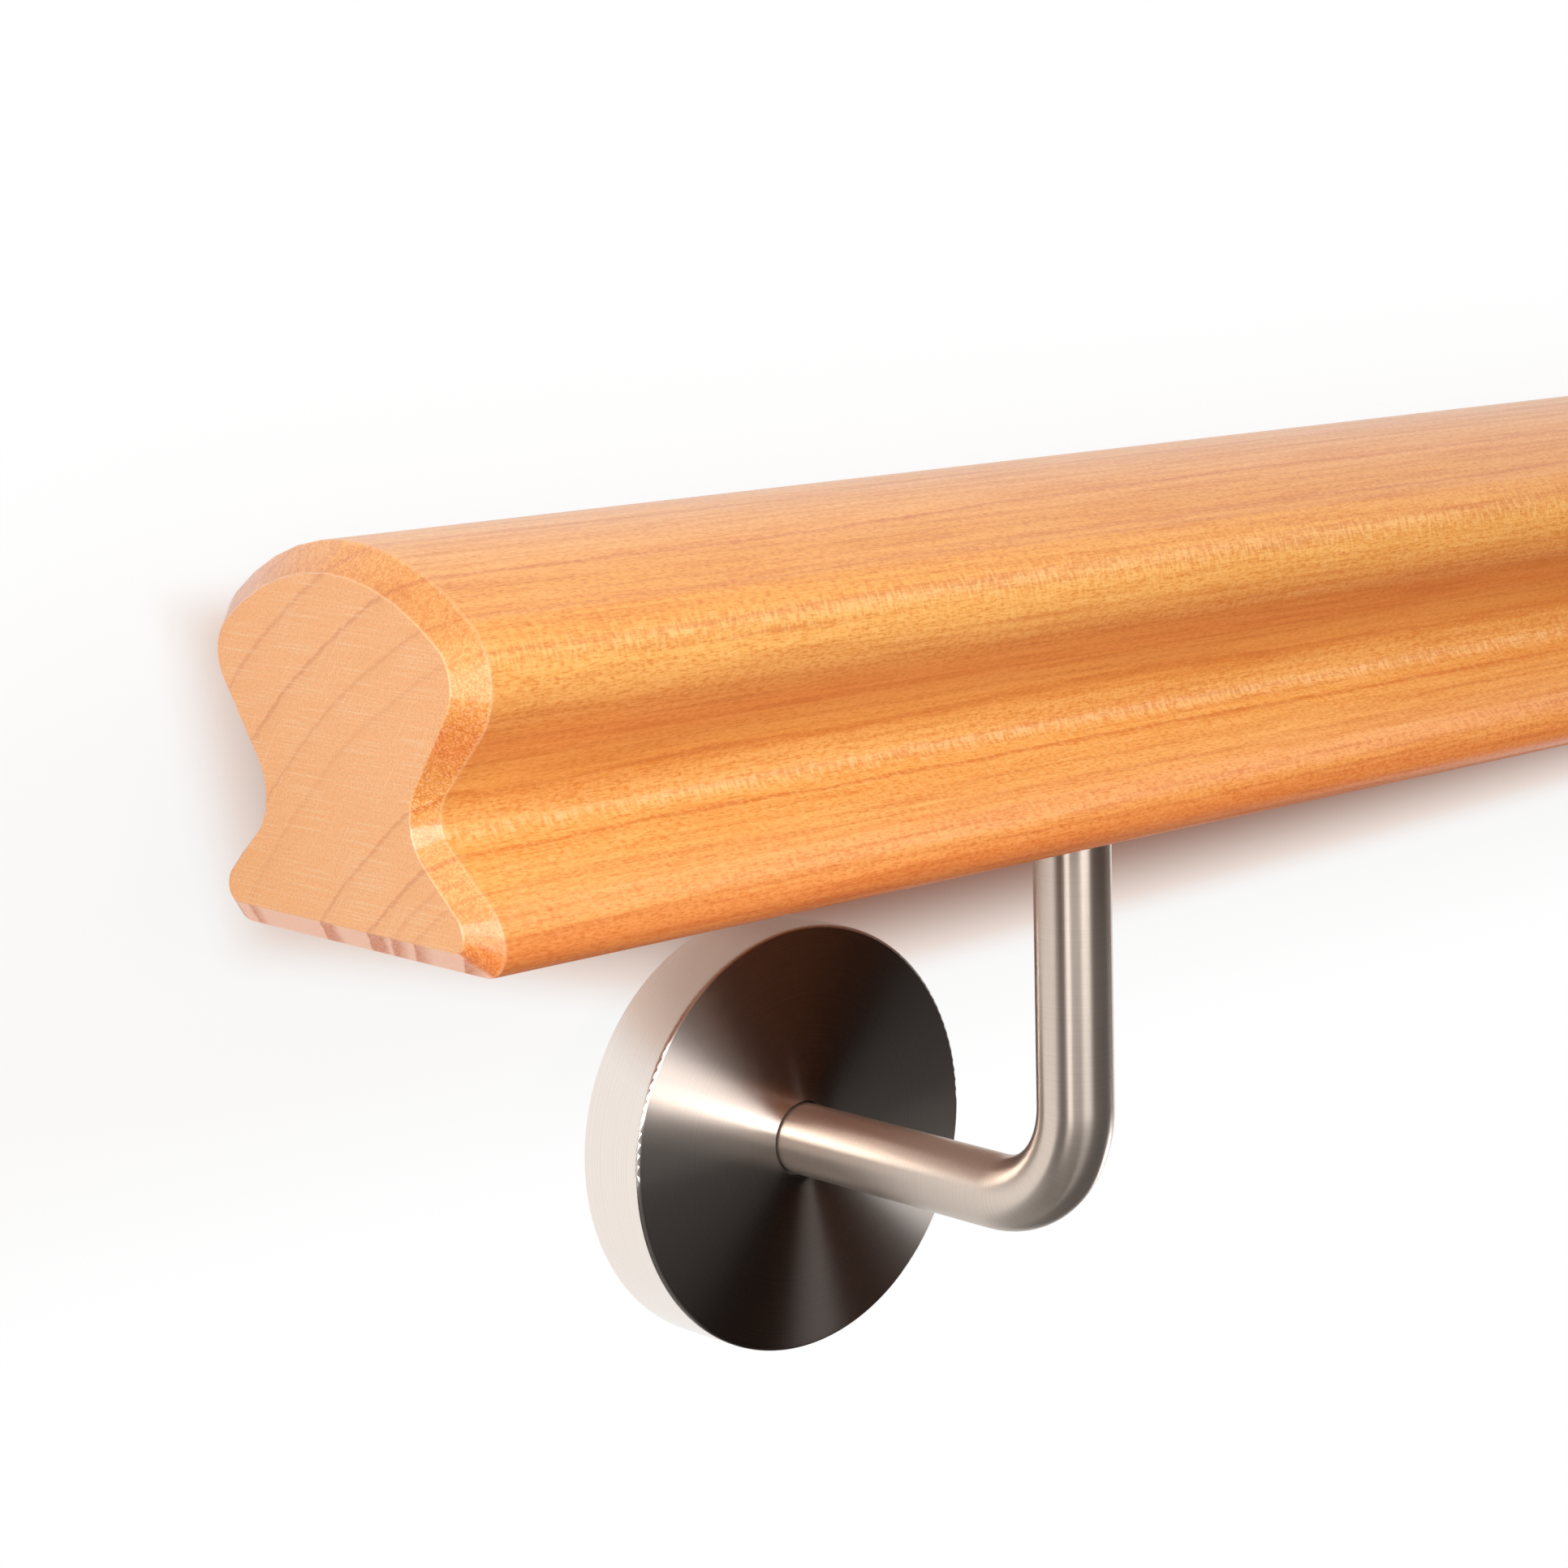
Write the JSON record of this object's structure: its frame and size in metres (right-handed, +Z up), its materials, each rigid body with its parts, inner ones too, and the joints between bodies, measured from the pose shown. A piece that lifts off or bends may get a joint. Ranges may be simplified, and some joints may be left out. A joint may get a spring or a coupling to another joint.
{
  "type": "stair handrail",
  "caption": "Straight wooden stair handrail of mushroom section with bevelled ends, on bent round steel rods with round cover rosettes for wall mounting.",
  "frame": {"origin": "middle of the bounding box on the floor that the handrail lies on", "axes": "+X along the rail, +Z up; the wall side of the hung rail faces down and towards -Y"},
  "size_m": [1, 0.176, 0.0823],
  "materials": {
    "rail_wood": "satin clear varnish",
    "satin_steel": "brushed stainless",
    "zinc_steel": "bright zinc plate"
  },
  "bodies": {
    "root": {"handrail": "rail_wood", "bracket_rod_left": "satin_steel", "hanger_screw_left": "zinc_steel", "wall_plate_left": "zinc_steel", "cover_rosette_left": "satin_steel", "bracket_rod_right": "satin_steel", "hanger_screw_right": "zinc_steel", "wall_plate_right": "zinc_steel", "cover_rosette_right": "satin_steel"}
  },
  "joints": []
}
